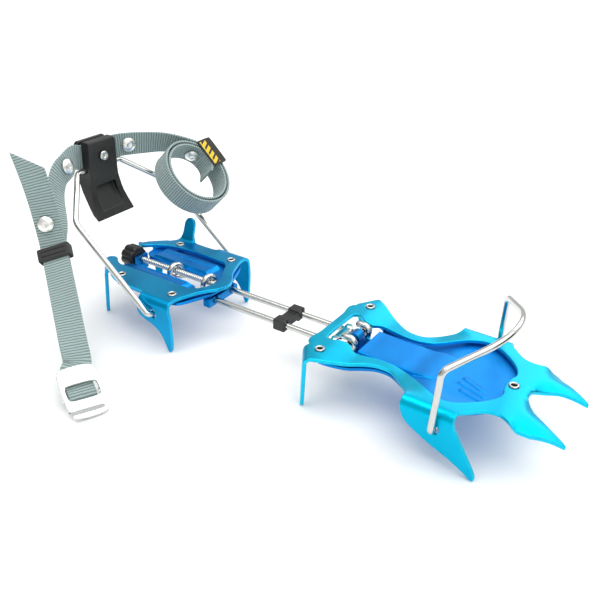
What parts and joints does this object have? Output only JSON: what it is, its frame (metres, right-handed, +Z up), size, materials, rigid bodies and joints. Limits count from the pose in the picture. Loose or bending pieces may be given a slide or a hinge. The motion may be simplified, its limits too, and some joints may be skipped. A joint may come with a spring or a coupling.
{
  "type": "crampon",
  "caption": "Step-in crampon: a toe section and a heel section of bent sheet with downward points, joined by sliding rods, with wire bails, a heel lever, webbing straps and a hook buckle.",
  "frame": {"origin": "on the sole face of the toe plate's rear cross-member, on the centre plane", "axes": "+X towards the toe points, +Y to the side of the heel plate's upright tab, +Z up, out of the sole face"},
  "size_m": [0.3516, 0.2084, 0.1239],
  "materials": {
    "front_bail": "polished stainless",
    "g_hook_buckle": "polished stainless",
    "heel_bail": "polished stainless",
    "heel_insert": "satin azure anodised",
    "heel_lever": "moulded black",
    "heel_plate": "satin blue anodised",
    "heel_rivet_front_left": "polished stainless",
    "heel_rivet_front_right": "polished stainless",
    "heel_rivet_rear_left": "polished stainless",
    "heel_rivet_rear_right": "polished stainless",
    "hinge_bracket": "satin blue anodised",
    "hinge_pin": "polished stainless",
    "label_tag": "woven black with a plain yellow motif",
    "lever_screw": "polished stainless",
    "link_rod_left": "polished stainless",
    "link_rod_right": "polished stainless",
    "rod_guide": "satin blue anodised",
    "rod_saddle": "polished stainless",
    "rod_slider": "moulded black",
    "snap_coil": "polished stainless",
    "snap_lever_left": "polished stainless",
    "snap_lever_right": "polished stainless",
    "snap_tail": "polished stainless",
    "spindle": "polished stainless",
    "spindle_bearing": "satin blue anodised",
    "spindle_knob": "moulded black, ribbed",
    "spindle_stop": "polished stainless",
    "strap_clamp": "moulded black",
    "strap_far": "woven webbing, grey-green with dark crosswise ribs",
    "strap_keeper": "soft black",
    "strap_near": "woven webbing, grey-green with dark crosswise ribs",
    "toe_insert": "satin azure anodised",
    "toe_plate": "satin cyan anodised",
    "toe_rivet_front": "polished stainless",
    "toe_rivet_left": "polished stainless",
    "toe_rivet_right": "polished stainless"
  },
  "bodies": {
    "toe": {"toe_plate": "toe_plate", "toe_insert": "toe_insert", "toe_rivet_front": "toe_rivet_front", "toe_rivet_left": "toe_rivet_left", "toe_rivet_right": "toe_rivet_right", "hinge_bracket": "hinge_bracket", "hinge_pin": "hinge_pin"},
    "link": {"link_rod_left": "link_rod_left", "link_rod_right": "link_rod_right", "rod_saddle": "rod_saddle"},
    "slider": {"rod_slider": "rod_slider"},
    "heel": {"heel_plate": "heel_plate", "heel_insert": "heel_insert", "heel_rivet_rear_left": "heel_rivet_rear_left", "heel_rivet_rear_right": "heel_rivet_rear_right", "heel_rivet_front_left": "heel_rivet_front_left", "heel_rivet_front_right": "heel_rivet_front_right", "spindle_bearing": "spindle_bearing", "rod_guide": "rod_guide"},
    "spindle": {"spindle": "spindle", "spindle_stop": "spindle_stop", "spindle_knob": "spindle_knob"},
    "front_bail": {"front_bail": "front_bail"},
    "heel_bail": {"heel_bail": "heel_bail"},
    "lever": {"heel_lever": "heel_lever", "strap_clamp": "strap_clamp", "lever_screw": "lever_screw", "strap_near": "strap_near", "strap_far": "strap_far", "snap_lever_right": "snap_lever_right", "snap_lever_left": "snap_lever_left", "snap_tail": "snap_tail", "snap_coil": "snap_coil", "label_tag": "label_tag"},
    "keeper": {"strap_keeper": "strap_keeper"},
    "buckle": {"g_hook_buckle": "g_hook_buckle"}
  },
  "joints": [
    {"name": "link_pitch", "type": "hinge", "parent": "toe", "child": "link", "pos_m": [0.0148, 0, -0.0044], "axis": [0, 1, 0], "range_deg": [-7, 4]},
    {"name": "slider_slide", "type": "slide", "parent": "link", "child": "slider", "axis": [1, 0, 0], "range_m": [-0.042, 0.022]},
    {"name": "heel_slide", "type": "slide", "parent": "link", "child": "heel", "axis": [1, 0, 0], "range_m": [0, 0.024]},
    {"name": "spindle_turn", "type": "hinge", "parent": "heel", "child": "spindle", "pos_m": [-0.12, 0, -0.003], "axis": [1, 0, 0], "range_deg": [0, 5761]},
    {"name": "front_bail_swing", "type": "hinge", "parent": "toe", "child": "front_bail", "pos_m": [0.0866, 0, -0.0119], "axis": [0, 1, 0], "range_deg": [-30, 40]},
    {"name": "heel_bail_swing", "type": "hinge", "parent": "heel", "child": "heel_bail", "pos_m": [-0.1108, 0, -0.0108], "axis": [0, 1, 0], "range_deg": [0, 50]},
    {"name": "lever_turn", "type": "hinge", "parent": "heel_bail", "child": "lever", "pos_m": [-0.1939, 0, 0.0583], "axis": [0, 1, 0], "range_deg": [-25, 0]},
    {"name": "keeper_slide", "type": "slide", "parent": "lever", "child": "keeper", "axis": [-0.6349, 0.428, 0.6432], "range_m": [-0.004, 0]},
    {"name": "buckle_tilt", "type": "hinge", "parent": "lever", "child": "buckle", "pos_m": [-0.10341, -0.11174, -0.03111], "axis": [0.3898, 0.9195, -0.05], "range_deg": [0, 15]}
  ],
  "couplings": [
    {"joint": "spindle_turn", "follows": "heel_slide", "rad_per_m": 4188.8}
  ]
}
